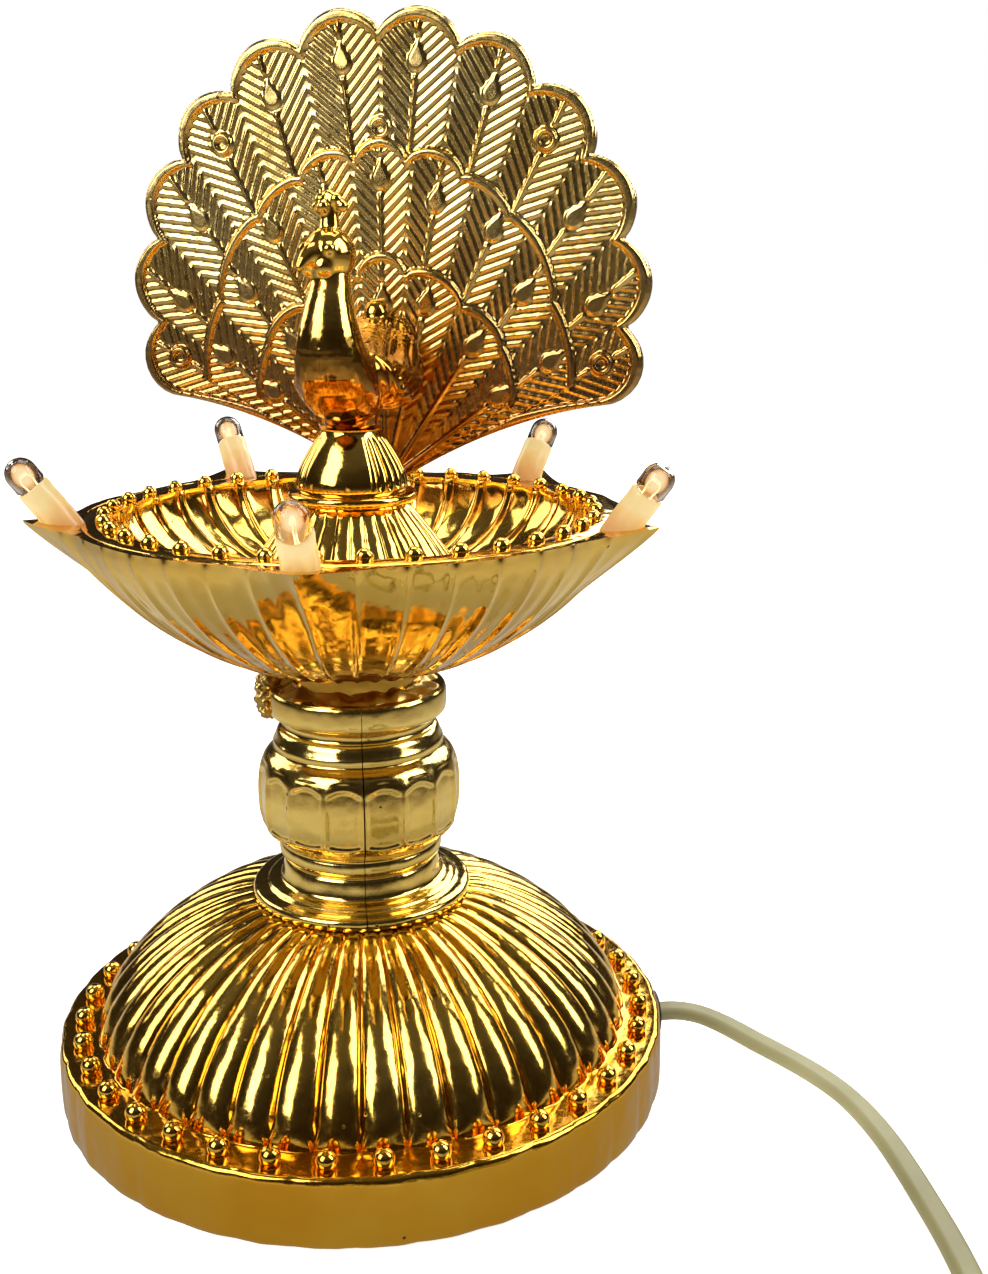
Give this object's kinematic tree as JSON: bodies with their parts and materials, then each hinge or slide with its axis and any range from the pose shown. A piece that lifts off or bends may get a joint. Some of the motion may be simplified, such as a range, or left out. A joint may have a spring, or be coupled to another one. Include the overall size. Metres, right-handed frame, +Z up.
{
  "type": "electric peacock diya lamp",
  "caption": "Standing oil-lamp shape in gold-plated plastic with a fluted base, turned stem, spouted bowl of small electric bulbs, peacock with open tail, and flat mains cord.",
  "frame": {"origin": "centre of the ring that the lamp rests on, at table level", "axes": "+Z up along the stem's axis; the peacock faces -Y; +X is to the right of someone who faces it"},
  "size_m": [0.1871, 0.2041, 0.2112],
  "materials": {
    "gold_plate": "vacuum-metallised gold over moulded plastic, mirror gloss, lightly pitted and rubbed",
    "cover_plastic": "black moulded plastic, satin",
    "screw_steel": "zinc-plated steel",
    "glue": "dried clear adhesive, yellowed",
    "bulb_glass": "clear thin glass",
    "sleeve_plastic": "milky translucent plastic, satin",
    "filament_wire": "glowing tungsten coil on bare leads",
    "contact_brass": "bare brass strip",
    "copper_core": "bare copper strand",
    "wire_pvc": "red PVC insulation",
    "cord_pvc": "cream flat PVC cord, satin",
    "plug_pvc": "cream moulded PVC, satin",
    "pin_metal": "nickel-plated brass pins",
    "tie_plastic": "black plastic-covered wire tie"
  },
  "bodies": {
    "root": {"base_shell": "gold_plate", "stem_left": "gold_plate", "stem_right": "gold_plate", "bowl_shell": "gold_plate", "bowl_liner": "gold_plate", "center_cone": "gold_plate", "peacock_foot": "gold_plate", "peacock_left": "gold_plate", "peacock_right": "gold_plate", "tail_front": "gold_plate", "tail_back": "gold_plate", "bottom_cover": "cover_plastic", "cord_grommet": "cover_plastic", "cord_clamp": "cover_plastic", "splice_sleeves": "cover_plastic", "cover_screws": "screw_steel", "clamp_screws": "screw_steel", "stem_screws": "screw_steel", "foot_screw": "screw_steel", "tail_screw": "screw_steel", "neck_glue": "glue", "cord_tail": "cord_pvc", "cord_cores": "copper_core", "feed_wires": "wire_pvc", "link_wires": "wire_pvc", "socket_contacts": "contact_brass", "bulb_holder_1": "sleeve_plastic", "bulb_holder_2": "sleeve_plastic", "bulb_holder_3": "sleeve_plastic", "bulb_holder_4": "sleeve_plastic", "bulb_holder_5": "sleeve_plastic", "power_cord": "cord_pvc", "cord_coil": "cord_pvc", "coil_tie": "tie_plastic", "plug_body": "plug_pvc", "plug_pins": "pin_metal"},
    "bulb_1": {"bulb_glass_1": "bulb_glass", "bulb_filament_1": "filament_wire"},
    "bulb_2": {"bulb_glass_2": "bulb_glass", "bulb_filament_2": "filament_wire"},
    "bulb_3": {"bulb_glass_3": "bulb_glass", "bulb_filament_3": "filament_wire"},
    "bulb_4": {"bulb_glass_4": "bulb_glass", "bulb_filament_4": "filament_wire"},
    "bulb_5": {"bulb_glass_5": "bulb_glass", "bulb_filament_5": "filament_wire"}
  },
  "joints": [
    {"name": "bulb_1_pull", "type": "slide", "parent": "root", "child": "bulb_1", "axis": [0.0908, -0.5736, 0.8141], "range_m": [0, 0.008]},
    {"name": "bulb_2_pull", "type": "slide", "parent": "root", "child": "bulb_2", "axis": [0.5736, -0.0908, 0.8141], "range_m": [0, 0.008]},
    {"name": "bulb_3_pull", "type": "slide", "parent": "root", "child": "bulb_3", "axis": [0.2636, 0.5174, 0.8141], "range_m": [0, 0.008]},
    {"name": "bulb_4_pull", "type": "slide", "parent": "root", "child": "bulb_4", "axis": [-0.4106, 0.4106, 0.8141], "range_m": [0, 0.008]},
    {"name": "bulb_5_pull", "type": "slide", "parent": "root", "child": "bulb_5", "axis": [-0.5174, -0.2636, 0.8141], "range_m": [0, 0.008]}
  ]
}
